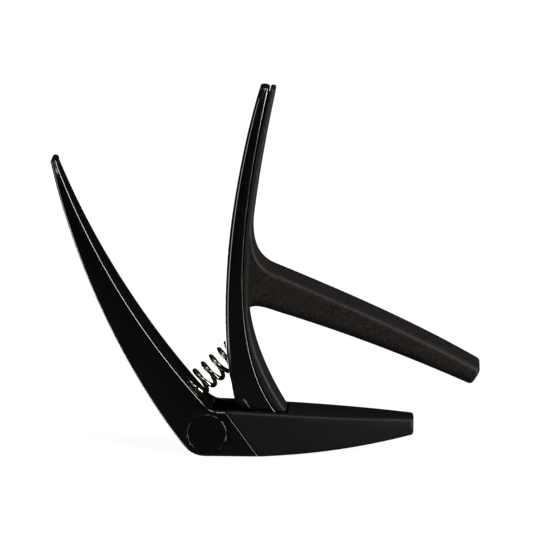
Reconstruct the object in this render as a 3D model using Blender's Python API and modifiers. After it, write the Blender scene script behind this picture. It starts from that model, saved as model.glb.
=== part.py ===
"""Spring capo for a guitar.

A fixed casting carries one squeeze handle, the base and the lower jaw. A lever casting carries the other
handle, a foot that turns on a pin in the base's slot, and the string bar. A compression spring between
the handles holds the jaws closed. X runs from the handles to the jaws, Z is up and the middle plane is
Y = 0. The origin is on the ground under the middle of the object.
"""

import math

import bmesh
import bpy
from mathutils import Matrix, Vector

MM = 0.001

# Fits between pieces, in millimetres as every length up to the meshes.
SLEEVE_GAP = 0.15
SEAT_GAP = 0.12
RUNNING_GAP = 0.05
CUT_MARGIN = 1.0

# The two soft sleeves.
NECK_SLEEVE_WALL = 0.9
LEVER_SLEEVE_WALL = 1.1
SEAM_GROOVE = 0.3

# The hinge under the lower jaw's sleeve.
PIVOT = (-0.8, 6.4)
PIN_RADIUS = 1.25
PIN_HALF_LENGTH = 5.15
BUSH_RADIUS = 1.95
FLANGE_RADIUS = 2.9
FLANGE_THICKNESS = 0.5
BUSH_INNER_END = 0.4

# The slot in the base and the lever's foot in it, with a raised line on each cheek.
SLOT_HALF_WIDTH = 4.4
SLOT_FLOOR = 2.9
SLOT_START = -11.6
SLOT_END = 5.2
SLOT_CORNER = -6.0
SLOT_STEP = 9.2
SLOT_TOP = 16.6
FOOT_HALF_WIDTH = 3.75
FOOT_RADIUS = 3.1
FOOT_ANGLES = range(165, 316, 15)
FOOT_TOP = ((-6.4, 12.6), (-5.9, 10.9), (-4.8, 9.2))
FOOT_TOE = ((2.0, 5.35), (3.3, 5.35), (3.4, 8.4), (2.8, 9.2), (1.3, 9.2), (0.0, 12.6))
RIDGE_TOP = (-4.8, 4.06, 12.9)
RIDGE_BOTTOM = (-3.4, 3.9, 10.6)
RIDGE_RADIUS = 0.28
FLANGE_FACE = SLOT_HALF_WIDTH - 0.15
HUB_RECESS_RADIUS = FLANGE_RADIUS + 0.25

# The rubber stop under the toe.
STOP_LEFT = 1.9
STOP_TOP = 5.1
STOP_CHAMFER = 0.4
STOP_HALF_WIDTH = SLOT_HALF_WIDTH - 0.3

# The spring, whose axis rises from the frame's pocket to the lever's.
SPRING_AXIS = Vector((0.736, 0.0, 0.677)).normalized()
SPRING_FOOT = Vector((-17.8, 0.0, 12.5))
SPRING_RADIUS = 3.15
WIRE_RADIUS = 0.52
SPRING_LENGTH = 16.2
ACTIVE_TURNS = 5.25
END_TURNS = 1
END_TURN_GAP = 0.06
START_TURN = 0.5
POINTS_PER_TURN = 16
POCKET_RADIUS = 3.75
POCKET_DEPTH = 8.0
CUP_RADIUS = 3.6
CUP_WALL = 0.25
CUP_HEIGHT = 2.4
SEAT_HOLE_RADIUS = 1.2

# The plain round inlay in the near face of the base.
BADGE_CENTRE = (-12.7, 5.4)
BADGE_RADIUS = 4.35
BADGE_DEPTH = 0.4
HALF_DEPTH = 6.2

# The soft strip under the string bar, and the part of the bar's length that it takes.
PAD_HALF_WIDTH = 2.7
PAD_THICKNESS = 1.5
PAD_PROUD = 0.15
PAD_OPENING = 0.33
PAD_SPAN = (0.023, 0.954)

# Edges as Bezier curves in X and Z, from the tips, and half depths as curves beside them.
FRAME_OUTER = ((-47.25, 67.2), (-42.7, 45.3), (-31.6, 20.5), (-18.2, 2.7))
FRAME_INNER = ((-45.9, 66.9), (-38.5, 46.6), (-27.3, 28.1), (-13.2, 12.0))
FRAME_DEPTH = (2.8, 5.7, 6.3, 6.2)
FRAME_START = 0.025
HEEL_OUTER = ((-18.2, 2.7), (-16.1, 0.0), (-13.0, 0.0))
HEEL_INNER = ((-13.2, 12.0), (-11.7, 10.35), (-9.9, 10.35))
SEAM = ((-1.4, 0.0), (-8.75, 10.35))
NECK_BOTTOM = ((-1.4 + SEAM_GROOVE, 0.0), (14.5, 0.8), (32.2, 4.4))
NECK_TOP = ((-8.75 + SEAM_GROOVE, 10.4), (32.2, 8.37))
NECK_TAPER = 3.1
NECK_TAPER_START = 4.0
NECK_TAPER_LENGTH = 28.5
NECK_TAPER_POWER = 2.2
TANG_END = 0.954
LEVER_FRONT = ((-1.1, 82.1), (-7.0, 62.6), (-12.0, 30.5), (-6.0, 9.9))
LEVER_SEAM = ((1.05, 82.1), (-3.45, 62.8), (-9.95, 27.3), (2.4, 9.8))
LEVER_DEPTH = (2.9, 5.5, 6.7, 3.9)
SLEEVE_STEP = 0.1
BACK_UPPER = ((2.5, 82.4), (0.4, 72.4), (-1.35, 62.5), (-2.6, 52.4))
BACK_MIDDLE = ((-2.6, 52.4), (-3.7, 34.6))
BACK_LOWER = ((-3.7, 34.6), (-3.9, 29.5), (-1.6, 20.0), (4.85, 9.95))
CORE_START = 0.017
CORE_OVERLAP = 1.0
ROOT_TOP = ((-2.65, 50.5), (-2.7, 43.9), (1.9, 41.9))
ROOT_BOTTOM = ((-3.8, 32.4), (-3.5, 34.9), (2.5, 32.7))
ROOT_DEPTH = (5.15, 5.5)
BAR_TOP = ((1.9, 41.9), (16.5, 35.7), (31.9, 29.2), (47.0, 20.65))
BAR_BOTTOM = ((2.5, 32.7), (16.8, 28.4), (30.1, 23.35), (44.8, 16.6))
BAR_DEPTH = (5.5, 5.9, 5.8, 5.0)

# Radii at the first and the second edge of each arm's section.
FRAME_EDGES = (0.8, 0.6)
NECK_EDGES = (0.8, 0.8)
LEVER_EDGES = (1.4, 0.35)
SLEEVE_EDGES = (0.25, 0.9)
BAR_EDGES = (1.2, 2.5)
PAD_EDGES = (0.3, 0.7)
TANG_EDGES = (0.5, 0.5)
HOLLOW_EDGES = (0.6, 0.6)

# The largest share of a section's length and of its half depth that its corners may take.
LENGTH_SHARE = 0.95
DEPTH_SHARE = 0.85

# How much longer each tip is than its edge curves, and how far it draws in all round.
FRAME_TIP = (0.9, 0.55)
NECK_TIP = (0.7, 0.7)
LEVER_TIP = (0.7, 0.6)
SLEEVE_TIP = (0.35, 0.45)
BAR_TIP = (0.8, 0.75)

# How far tangs and hollows reach past the curves that they follow.
TANG_ROOT = 2.5
BAR_TANG_ROOT = 1.5
BAR_ROOT = 0.4
HOLLOW_END = 0.4
RIB_EXIT = (0.9, -3.0)

# Sections along each arm, then steps round its corners and its tips.
FRAME_STEPS = 16
HEEL_STEPS = 6
NECK_STEPS = 12
LEVER_STEPS = 20
ROOT_STEPS = 6
BAR_STEPS = 12
CORNER_STEPS = 2
END_STEPS = 2
END_ANGLE = math.radians(86)
ROUND_SEGMENTS = 32
HALVINGS = 24


def clear_scene():
    for obj in list(bpy.data.objects):
        bpy.data.objects.remove(obj, do_unlink=True)


def new_collection(name):
    collection = bpy.data.collections.new(name)
    bpy.context.scene.collection.children.link(collection)
    return collection


def make_material(name, colour, roughness, metallic=0.0):
    material = bpy.data.materials.new(name)
    material.use_nodes = True
    shader = material.node_tree.nodes["Principled BSDF"]
    shader.inputs["Base Color"].default_value = (*colour, 1.0)
    shader.inputs["Roughness"].default_value = roughness
    shader.inputs["Metallic"].default_value = metallic
    return material


def on_curve(points, t):
    """A point, or a plain number, on the Bezier curve through these control points."""
    if isinstance(points[0], (int, float)):
        return on_curve([(value, 0) for value in points], t)[0]
    rest = [Vector(point) for point in points]
    while len(rest) > 1:
        rest = [a.lerp(b, t) for a, b in zip(rest, rest[1:])]
    return rest[0]


def spaced(count, start=0.0, end=1.0):
    return [start + (end - start) * i / count for i in range(count + 1)]


def row(first, second, half):
    """One section of an arm: two facing edge points in X and Z, and the half depth in Y."""
    return (first[0], first[1], second[0], second[1], half)


def drawn_in(rows, first, second, side):
    """Rows whose first and second edge and whose sides lie this far inside the given rows."""
    result = []
    for x1, z1, x2, z2, half in rows:
        start = Vector((x1, z1))
        end = Vector((x2, z2))
        along = (end - start).normalized()
        result.append(row(start + along * first, end - along * second, half - side))
    return result


def stretched(rows, before, after):
    """Rows with one more at each end, moved on in X."""
    x1, z1, x2, z2, half = rows[0]
    first = (x1 - before, z1, x2 - before, z2, half)
    x1, z1, x2, z2, half = rows[-1]
    last = (x1 + after, z1, x2 + after, z2, half)
    return [*([first] if before else []), *rows, *([last] if after else [])]


def end_rounded(rows, length, inset):
    """Rows with a rounded end after the last one, this much longer and drawn in all round by the inset."""
    x1, z1, x2, z2, half = rows[-1]
    first = Vector((x1, z1))
    second = Vector((x2, z2))
    along = (second - first).normalized()
    before = (Vector(rows[-2][:2]) + Vector(rows[-2][2:4])) / 2
    out = Vector((-along.y, along.x))
    if out.dot((first + second) / 2 - before) < 0:
        out = -out
    end = []
    for step in range(1, END_STEPS + 1):
        angle = END_ANGLE * step / END_STEPS
        inward = inset * (1 - math.cos(angle))
        forward = out * length * math.sin(angle)
        end.append(row(first + forward + along * inward, second + forward - along * inward, half - inward))
    return rows + end


def start_rounded(rows, length, inset):
    return end_rounded(rows[::-1], length, inset)[::-1]


def ring(section, radii):
    """A rounded rectangle between a row's two edge points, with a corner radius for each edge."""
    x1, z1, x2, z2, half_depth = section
    start = Vector((x1, 0, z1))
    end = Vector((x2, 0, z2))
    along = (end - start).normalized()
    length = (end - start).length
    points = []
    for corner in range(4):
        side = 1 if corner in (0, 3) else -1
        back = 1 if corner in (0, 1) else -1
        wanted = radii[1] if side > 0 else radii[0]
        radius = min(wanted, LENGTH_SHARE * length * wanted / sum(radii), DEPTH_SHARE * half_depth)
        for step in range(CORNER_STEPS + 1):
            angle = math.radians(90) * (corner + step / CORNER_STEPS)
            u = side * (length / 2 - radius) + radius * math.cos(angle)
            v = back * (half_depth - radius) + radius * math.sin(angle)
            points.append((start + end) / 2 + along * u + Vector((0, v, 0)))
    return points


def frame_rows():
    """The frame from the handle's tip round the heel to the seam in the base."""
    rows = []
    for t in spaced(FRAME_STEPS, FRAME_START)[:-1]:
        half = min(on_curve(FRAME_DEPTH, t), HALF_DEPTH)
        rows.append(row(on_curve(FRAME_OUTER, t), on_curve(FRAME_INNER, t), half))
    for t in spaced(HEEL_STEPS):
        rows.append(row(on_curve(HEEL_OUTER, t), on_curve(HEEL_INNER, t), HALF_DEPTH))
    rows.append(row(*SEAM, HALF_DEPTH))
    return start_rounded(rows, *FRAME_TIP)


def neck_rows(end=1.0):
    """The lower jaw from the seam towards its tip, whose depth tapers in plan."""
    rows = []
    for t in spaced(NECK_STEPS, 0.0, end):
        bottom = on_curve(NECK_BOTTOM, t)
        top = on_curve(NECK_TOP, t)
        along = max((bottom[0] + top[0]) / 2 - NECK_TAPER_START, 0) / NECK_TAPER_LENGTH
        rows.append(row(bottom, top, HALF_DEPTH - NECK_TAPER * along**NECK_TAPER_POWER))
    return rows


def lever_rows():
    """The lever's metal from its front to the line where it meets the sleeve."""
    rows = []
    for t in spaced(LEVER_STEPS):
        rows.append(row(on_curve(LEVER_FRONT, t), on_curve(LEVER_SEAM, t), on_curve(LEVER_DEPTH, t)))
    return start_rounded(rows, *LEVER_TIP)


def at_height(curves, z):
    """The point at this height on the first of the falling curves that reaches down to it."""
    curve = next((curve for curve in curves if curve[-1][1] <= z), curves[-1])
    low, high = 0.0, 1.0
    for _ in range(HALVINGS):
        middle = (low + high) / 2
        if on_curve(curve, middle)[1] > z:
            low = middle
        else:
            high = middle
    return on_curve(curve, low)


def back_rows(start=0.0):
    """From the line where metal meets sleeve to the sleeve's back."""
    rows = []
    for t in spaced(LEVER_STEPS, start):
        seam = on_curve(LEVER_SEAM, t)
        back = at_height((BACK_UPPER, BACK_MIDDLE, BACK_LOWER), seam[1])
        rows.append(row(seam, back, on_curve(LEVER_DEPTH, t) - SLEEVE_STEP))
    return rows


def core_rows(wall):
    """The metal rib inside the back of the sleeve."""
    return drawn_in(back_rows(CORE_START), -CORE_OVERLAP, wall, wall)


def bar_rows(start=0.0, end=1.0):
    """The string bar from its root's end towards its tip."""
    rows = []
    for t in spaced(BAR_STEPS, start, end):
        rows.append(row(on_curve(BAR_TOP, t), on_curve(BAR_BOTTOM, t), on_curve(BAR_DEPTH, t)))
    return rows


def root_rows():
    """The flare where the string bar leaves the lever's back."""
    places = spaced(ROOT_STEPS)[:-1]
    return [row(on_curve(ROOT_TOP, t), on_curve(ROOT_BOTTOM, t), on_curve(ROOT_DEPTH, t)) for t in places]


def bar_core_rows(wall):
    """The metal tang inside the string bar, above the soft strip."""
    return drawn_in(root_rows() + bar_rows(0.0, TANG_END), wall, wall + PAD_THICKNESS, wall)


def neck_core_rows(wall):
    """The metal tang inside the lower jaw."""
    return drawn_in(neck_rows(TANG_END), wall, wall, wall)


def pad_rows(extra):
    """The soft strip along the underside of the bar, or with extra the space it lies in."""
    result = []
    for x1, z1, x2, z2, _ in bar_rows(*PAD_SPAN):
        top = Vector((x1, z1))
        bottom = Vector((x2, z2))
        down = (bottom - top).normalized()
        inner = bottom - down * (PAD_THICKNESS + extra)
        outer = bottom + down * (PAD_PROUD + (PAD_OPENING if extra else 0) + extra)
        result.append(row(inner, outer, PAD_HALF_WIDTH + extra))
    return stretched(result, extra, extra)


def object_from(bm, name, collection):
    """A mesh object from a bmesh that was built in millimetres."""
    bmesh.ops.recalc_face_normals(bm, faces=bm.faces)
    bmesh.ops.scale(bm, vec=(MM, MM, MM), verts=bm.verts)
    mesh = bpy.data.meshes.new(name)
    bm.to_mesh(mesh)
    bm.free()
    obj = bpy.data.objects.new(name, mesh)
    collection.objects.link(obj)
    return obj


def loft(name, rows, collection, radii):
    """A closed skin through the rounded sections of the rows."""
    bm = bmesh.new()
    rings = [[bm.verts.new(point) for point in ring(section, radii)] for section in rows]
    for before, after in zip(rings, rings[1:]):
        for i in range(len(before)):
            j = (i + 1) % len(before)
            bm.faces.new((before[i], before[j], after[j], after[i]))
    bm.faces.new(rings[0])
    bm.faces.new(rings[-1])
    return object_from(bm, name, collection)


def plate(name, outline, half_width, collection):
    """A flat outline in X and Z, extruded to both sides in Y."""
    bm = bmesh.new()
    bm.faces.new([bm.verts.new((x, -half_width, z)) for x, z in outline])
    made = bmesh.ops.extrude_face_region(bm, geom=bm.faces[:])
    moved = [item for item in made["geom"] if isinstance(item, bmesh.types.BMVert)]
    bmesh.ops.translate(bm, vec=(0, 2 * half_width, 0), verts=moved)
    return object_from(bm, name, collection)


def cylinder(name, radius, start, end, collection):
    """A cylinder between two points."""
    start = Vector(start)
    end = Vector(end)
    bm = bmesh.new()
    bmesh.ops.create_cone(
        bm,
        cap_ends=True,
        segments=ROUND_SEGMENTS,
        radius1=radius,
        radius2=radius,
        depth=(end - start).length,
    )
    turn = (end - start).to_track_quat("Z", "Y").to_matrix().to_4x4()
    bmesh.ops.transform(bm, matrix=Matrix.Translation((start + end) / 2) @ turn, verts=bm.verts)
    return object_from(bm, name, collection)


def turned(name, profile, place, axis, collection):
    """A profile of radius and height, turned about an axis. It is closed unless it starts on the axis."""
    mesh = bpy.data.meshes.new(name)
    points = [(radius * MM, 0, height * MM) for radius, height in profile]
    count = len(points)
    last = count if profile[0][0] > 0 else count - 1
    mesh.from_pydata(points, [(i, (i + 1) % count) for i in range(last)], [])
    obj = bpy.data.objects.new(name, mesh)
    collection.objects.link(obj)
    obj.location = Vector(place) * MM
    obj.rotation_euler = Vector(axis).to_track_quat("Z", "Y").to_euler()
    screw = obj.modifiers.new("Turn", "SCREW")
    screw.steps = ROUND_SEGMENTS
    screw.render_steps = ROUND_SEGMENTS
    screw.use_merge_vertices = True
    screw.merge_threshold = 0.00001
    return obj


def boolean(obj, operation, *others):
    for other in others:
        modifier = obj.modifiers.new(f"{operation.title()} {other.name}", "BOOLEAN")
        modifier.operation = operation
        modifier.solver = "EXACT"
        modifier.object = other


def finish(obj, material, angle=35):
    obj.data.materials.clear()
    obj.data.materials.append(material)
    obj.data.shade_smooth()
    obj.data.set_sharp_from_angle(angle=math.radians(angle))
    return obj


def on_pivot(obj, pivot):
    """Parents a moving piece to the empty on the hinge's axis, where it stays in place."""
    obj.parent = pivot
    obj.matrix_parent_inverse = pivot.matrix_basis.inverted()


def spring_point(height):
    return SPRING_FOOT + SPRING_AXIS * height


def slot_outline():
    return [
        (SLOT_START, SLOT_TOP),
        (SLOT_START, SLOT_STEP),
        (SLOT_CORNER, SLOT_FLOOR),
        (SLOT_END, SLOT_FLOOR),
        (SLOT_END, SLOT_TOP),
    ]


def foot_outline():
    """The foot's hub round the pin, with a toe to the right that meets the stop."""
    hub = []
    for degrees in FOOT_ANGLES:
        angle = math.radians(degrees)
        hub.append((PIVOT[0] + FOOT_RADIUS * math.cos(angle), PIVOT[1] + FOOT_RADIUS * math.sin(angle)))
    return [*FOOT_TOP, *hub, *FOOT_TOE]


def build_frame(parts, cutters, metal):
    frame = loft("frame_casting", frame_rows(), parts, FRAME_EDGES)
    tang_rows = stretched(neck_core_rows(NECK_SLEEVE_WALL + SLEEVE_GAP), TANG_ROOT, 0)
    tang = loft("cutter_neck_tang", tang_rows, cutters, TANG_EDGES)
    slot = plate("cutter_slot", slot_outline(), SLOT_HALF_WIDTH, cutters)
    reach = HALF_DEPTH + CUT_MARGIN
    bore = cylinder(
        "cutter_pin_bore",
        PIN_RADIUS + RUNNING_GAP,
        (PIVOT[0], -reach, PIVOT[1]),
        (PIVOT[0], reach, PIVOT[1]),
        cutters,
    )
    foot = spring_point(-CUP_WALL - SEAT_GAP)
    pocket = cylinder("cutter_frame_pocket", POCKET_RADIUS, foot, spring_point(POCKET_DEPTH), cutters)
    recess = cylinder(
        "cutter_badge",
        BADGE_RADIUS + SEAT_GAP,
        (BADGE_CENTRE[0], -HALF_DEPTH + BADGE_DEPTH + SEAT_GAP, BADGE_CENTRE[1]),
        (BADGE_CENTRE[0], -reach, BADGE_CENTRE[1]),
        cutters,
    )
    boolean(frame, "UNION", tang)
    boolean(frame, "DIFFERENCE", slot, bore, pocket, recess)
    finish(frame, metal)
    return slot


def build_neck_sleeve(parts, cutters, slot, soft):
    sleeve = loft("neck_jaw_sleeve", end_rounded(neck_rows(), *NECK_TIP), parts, NECK_EDGES)
    rows = stretched(neck_core_rows(NECK_SLEEVE_WALL), TANG_ROOT, HOLLOW_END)
    hollow = loft("cutter_neck_hollow", rows, cutters, HOLLOW_EDGES)
    boolean(sleeve, "DIFFERENCE", hollow, slot)
    finish(sleeve, soft)


def hub_bore_profile():
    """The bushes' bore through the foot, widened at both ends for their flanges."""
    bore = BUSH_RADIUS + SEAT_GAP
    floor = FLANGE_FACE - FLANGE_THICKNESS - SEAT_GAP
    return [
        (0, HALF_DEPTH),
        (HUB_RECESS_RADIUS, HALF_DEPTH),
        (HUB_RECESS_RADIUS, floor),
        (bore, floor),
        (bore, -floor),
        (HUB_RECESS_RADIUS, -floor),
        (HUB_RECESS_RADIUS, -HALF_DEPTH),
        (0, -HALF_DEPTH),
    ]


def build_lever(parts, cutters, pivot, metal):
    lever = loft("lever_casting", lever_rows(), parts, LEVER_EDGES)
    wall = LEVER_SLEEVE_WALL + SLEEVE_GAP
    rib = loft("cutter_lever_rib", core_rows(wall), cutters, TANG_EDGES)
    tang = loft("cutter_bar_tang", stretched(bar_core_rows(wall), BAR_TANG_ROOT, 0), cutters, TANG_EDGES)
    foot = plate("cutter_foot", foot_outline(), FOOT_HALF_WIDTH, cutters)
    ridges = []
    for name, side in (("near", -1), ("far", 1)):
        ends = [(x, side * y, z) for x, y, z in (RIDGE_BOTTOM, RIDGE_TOP)]
        ridges.append(cylinder(f"cutter_ridge_{name}", RIDGE_RADIUS, *ends, cutters))
    hub = turned("cutter_hub_bore", hub_bore_profile(), (PIVOT[0], 0, PIVOT[1]), (0, -1, 0), cutters)
    pocket = cylinder(
        "cutter_lever_pocket",
        POCKET_RADIUS,
        spring_point(SPRING_LENGTH + CUP_WALL + SEAT_GAP),
        spring_point(SPRING_LENGTH - POCKET_DEPTH - CUT_MARGIN),
        cutters,
    )
    boolean(lever, "UNION", rib, tang, foot, *ridges)
    boolean(lever, "DIFFERENCE", hub, pocket)
    finish(lever, metal)
    on_pivot(lever, pivot)


def build_lever_sleeve(parts, cutters, pivot, soft):
    rows = start_rounded(drawn_in(back_rows(), SLEEVE_GAP, 0, 0), *SLEEVE_TIP)
    sleeve = loft("lever_sleeve", rows, parts, SLEEVE_EDGES)
    rows = end_rounded(stretched(root_rows() + bar_rows(), BAR_ROOT, 0), *BAR_TIP)
    bar = loft("cutter_string_bar", rows, cutters, BAR_EDGES)
    rows = core_rows(LEVER_SLEEVE_WALL)
    x1, z1, x2, z2, half = rows[-1]
    across, down = RIB_EXIT
    below = (x1 + across, z1 + down, x2 + across, z2 + down, half)
    rib_hollow = loft("cutter_rib_hollow", [*rows, below], cutters, HOLLOW_EDGES)
    rows = stretched(bar_core_rows(LEVER_SLEEVE_WALL), TANG_ROOT, HOLLOW_END)
    bar_hollow = loft("cutter_bar_hollow", rows, cutters, HOLLOW_EDGES)
    pad_space = loft("cutter_pad_space", pad_rows(SEAT_GAP), cutters, HOLLOW_EDGES)
    boolean(sleeve, "UNION", bar)
    boolean(sleeve, "DIFFERENCE", rib_hollow, bar_hollow, pad_space)
    finish(sleeve, soft)
    on_pivot(sleeve, pivot)


def build_string_pad(parts, pivot, soft):
    pad = loft("string_pad", pad_rows(0), parts, PAD_EDGES)
    finish(pad, soft)
    on_pivot(pad, pivot)


def build_hinge(parts, pivot, steel, nylon):
    pin = cylinder(
        "hinge_pin",
        PIN_RADIUS,
        (PIVOT[0], -PIN_HALF_LENGTH, PIVOT[1]),
        (PIVOT[0], PIN_HALF_LENGTH, PIVOT[1]),
        parts,
    )
    finish(pin, steel)
    inner = PIN_RADIUS + RUNNING_GAP
    profile = [
        (FLANGE_RADIUS, FLANGE_FACE),
        (FLANGE_RADIUS, FLANGE_FACE - FLANGE_THICKNESS),
        (BUSH_RADIUS, FLANGE_FACE - FLANGE_THICKNESS),
        (BUSH_RADIUS, BUSH_INNER_END),
        (inner, BUSH_INNER_END),
        (inner, FLANGE_FACE),
    ]
    for name, side in (("near", -1), ("far", 1)):
        bush = turned(f"hinge_bush_{name}", profile, (PIVOT[0], 0, PIVOT[1]), (0, side, 0), parts)
        finish(bush, nylon)
        on_pivot(bush, pivot)


def build_stop_pad(parts, rubber):
    right = SLOT_END - SLEEVE_GAP
    bottom = SLOT_FLOOR + SLEEVE_GAP
    outline = [(STOP_LEFT, bottom), (right, bottom), (right, STOP_TOP), (STOP_LEFT + STOP_CHAMFER, STOP_TOP)]
    pad = plate("stop_pad", outline, STOP_HALF_WIDTH, parts)
    finish(pad, rubber)


def build_spring(parts, steel):
    """Closed end turns and open turns between them, wound right-handed along the spring's axis."""
    curve = bpy.data.curves.new("spring", "CURVE")
    curve.dimensions = "3D"
    curve.bevel_depth = WIRE_RADIUS * MM
    curve.bevel_resolution = 2
    curve.use_fill_caps = True
    turns = ACTIVE_TURNS + 2 * END_TURNS
    closed_rise = END_TURNS * (2 * WIRE_RADIUS + END_TURN_GAP)
    open_rise = SPRING_LENGTH - 2 * WIRE_RADIUS - 2 * SEAT_GAP - 2 * closed_rise
    across = SPRING_AXIS.cross(Vector((0, 1, 0))).normalized()
    count = round(turns * POINTS_PER_TURN)
    spline = curve.splines.new("POLY")
    spline.points.add(count)
    for i in range(count + 1):
        turn = i / POINTS_PER_TURN
        start_part = min(turn, END_TURNS) / END_TURNS
        end_part = max(turn - END_TURNS - ACTIVE_TURNS, 0) / END_TURNS
        middle_part = min(max(turn - END_TURNS, 0), ACTIVE_TURNS) / ACTIVE_TURNS
        height = WIRE_RADIUS + SEAT_GAP + closed_rise * (start_part + end_part) + open_rise * middle_part
        angle = 2 * math.pi * (turn + START_TURN)
        radius = SPRING_RADIUS - WIRE_RADIUS
        spot = spring_point(height) + radius * (
            math.cos(angle) * across + math.sin(angle) * SPRING_AXIS.cross(across)
        )
        spline.points[i].co = (*(spot * MM), 1.0)
    obj = bpy.data.objects.new("spring", curve)
    parts.objects.link(obj)
    curve.materials.append(steel)


def build_spring_seats(parts, pivot, steel):
    """A cup under the spring in the frame, and a flat washer over it in the lever."""
    profile = [
        (CUP_RADIUS, CUP_HEIGHT),
        (CUP_RADIUS, -CUP_WALL),
        (SEAT_HOLE_RADIUS, -CUP_WALL),
        (SEAT_HOLE_RADIUS, 0),
        (CUP_RADIUS - CUP_WALL, 0),
        (CUP_RADIUS - CUP_WALL, CUP_HEIGHT),
    ]
    finish(turned("spring_cup_frame", profile, SPRING_FOOT, SPRING_AXIS, parts), steel)
    profile = [
        (CUP_RADIUS, CUP_WALL),
        (CUP_RADIUS, 0),
        (SEAT_HOLE_RADIUS, 0),
        (SEAT_HOLE_RADIUS, CUP_WALL),
    ]
    washer = turned("spring_washer_lever", profile, spring_point(SPRING_LENGTH), SPRING_AXIS, parts)
    finish(washer, steel)
    on_pivot(washer, pivot)


def build_badge(parts, dark):
    back = (BADGE_CENTRE[0], -HALF_DEPTH + BADGE_DEPTH, BADGE_CENTRE[1])
    face = (BADGE_CENTRE[0], -HALF_DEPTH, BADGE_CENTRE[1])
    finish(cylinder("badge_disc", BADGE_RADIUS, back, face, parts), dark)


def main():
    clear_scene()
    parts = new_collection("guitar_capo")
    cutters = new_collection("cutters")
    gloss_black = make_material("gloss_black_paint", (0.012, 0.012, 0.013), 0.18)
    sleeve_soft = make_material("soft_sleeve", (0.030, 0.027, 0.025), 0.55)
    neck_soft = make_material("neck_sleeve_soft", (0.022, 0.022, 0.018), 0.45)
    pad_soft = make_material("silicone_pad", (0.018, 0.018, 0.018), 0.5)
    rubber = make_material("stop_rubber", (0.02, 0.02, 0.02), 0.7)
    steel = make_material("pin_steel", (0.55, 0.55, 0.56), 0.3, 1.0)
    spring_steel = make_material("spring_steel", (0.16, 0.14, 0.13), 0.3, 1.0)
    nylon = make_material("bush_nylon", (0.75, 0.74, 0.70), 0.5)
    badge = make_material("badge_inlay", (0.016, 0.016, 0.016), 0.3)

    pivot = bpy.data.objects.new("lever_pivot", None)
    pivot.location = (PIVOT[0] * MM, 0, PIVOT[1] * MM)
    parts.objects.link(pivot)

    slot = build_frame(parts, cutters, gloss_black)
    build_neck_sleeve(parts, cutters, slot, neck_soft)
    build_lever(parts, cutters, pivot, gloss_black)
    build_lever_sleeve(parts, cutters, pivot, sleeve_soft)
    build_string_pad(parts, pivot, pad_soft)
    build_hinge(parts, pivot, steel, nylon)
    build_stop_pad(parts, rubber)
    build_spring(parts, spring_steel)
    build_spring_seats(parts, pivot, steel)
    build_badge(parts, badge)
    for cutter in cutters.objects:
        cutter.hide_render = True
        cutter.display_type = "WIRE"


main()
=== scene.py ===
"""Looks of the spring capo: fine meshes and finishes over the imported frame, in a plain pale studio."""

import math

import bmesh
import bpy
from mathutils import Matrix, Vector


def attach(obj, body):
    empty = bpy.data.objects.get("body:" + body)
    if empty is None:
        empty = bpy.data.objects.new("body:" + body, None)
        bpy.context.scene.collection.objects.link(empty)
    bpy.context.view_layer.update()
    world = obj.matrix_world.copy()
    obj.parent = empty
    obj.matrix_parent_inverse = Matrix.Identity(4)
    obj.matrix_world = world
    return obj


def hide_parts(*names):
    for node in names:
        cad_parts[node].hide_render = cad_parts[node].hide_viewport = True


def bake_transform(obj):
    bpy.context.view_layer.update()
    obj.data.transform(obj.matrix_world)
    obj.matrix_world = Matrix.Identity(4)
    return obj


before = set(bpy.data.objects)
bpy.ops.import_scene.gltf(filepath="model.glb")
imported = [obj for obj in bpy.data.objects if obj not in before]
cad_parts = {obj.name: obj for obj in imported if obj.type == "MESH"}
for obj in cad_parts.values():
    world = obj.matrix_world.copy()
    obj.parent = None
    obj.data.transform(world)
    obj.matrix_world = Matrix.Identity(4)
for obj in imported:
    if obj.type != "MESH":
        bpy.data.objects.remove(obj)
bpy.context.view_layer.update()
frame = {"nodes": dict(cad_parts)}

MM = 0.001
BODY = "frame"
LEVER = "lever"

# Fits between pieces, in millimetres as every length up to the meshes.
SLEEVE_GAP = 0.15
SEAT_GAP = 0.12
RUNNING_GAP = 0.05
CUT_MARGIN = 1.0

# The two soft sleeves.
NECK_SLEEVE_WALL = 0.9
LEVER_SLEEVE_WALL = 1.1
SEAM_GROOVE = 0.3

# The hinge, the slot in the base and the lever's foot in it, with a raised line on each cheek.
PIVOT = (-0.8, 6.4)
PIN_RADIUS = 1.25
BORE_REACH = 7.5
BUSH_RADIUS = 1.95
FLANGE_RADIUS = 2.9
FLANGE_THICKNESS = 0.5
HUB_RECESS_RADIUS = FLANGE_RADIUS + 0.25
SLOT_HALF_WIDTH = 4.4
SLOT_FLOOR = 2.9
SLOT_START = -11.6
SLOT_END = 5.2
SLOT_CORNER = -6.0
SLOT_STEP = 9.2
SLOT_TOP = 16.6
FOOT_HALF_WIDTH = 3.75
FOOT_RADIUS = 3.1
FOOT_ANGLES = range(165, 316, 6)
FOOT_TOP = ((-6.4, 12.6), (-5.9, 10.9), (-4.8, 9.2))
FOOT_TOE = ((2.0, 5.35), (3.3, 5.35), (3.4, 8.4), (2.8, 9.2), (1.3, 9.2), (0.0, 12.6))
FLANGE_FACE = SLOT_HALF_WIDTH - 0.15
RIDGE_TOP = (-4.8, 4.06, 12.9)
RIDGE_BOTTOM = (-3.4, 3.9, 10.6)
RIDGE_RADIUS = 0.28

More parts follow.
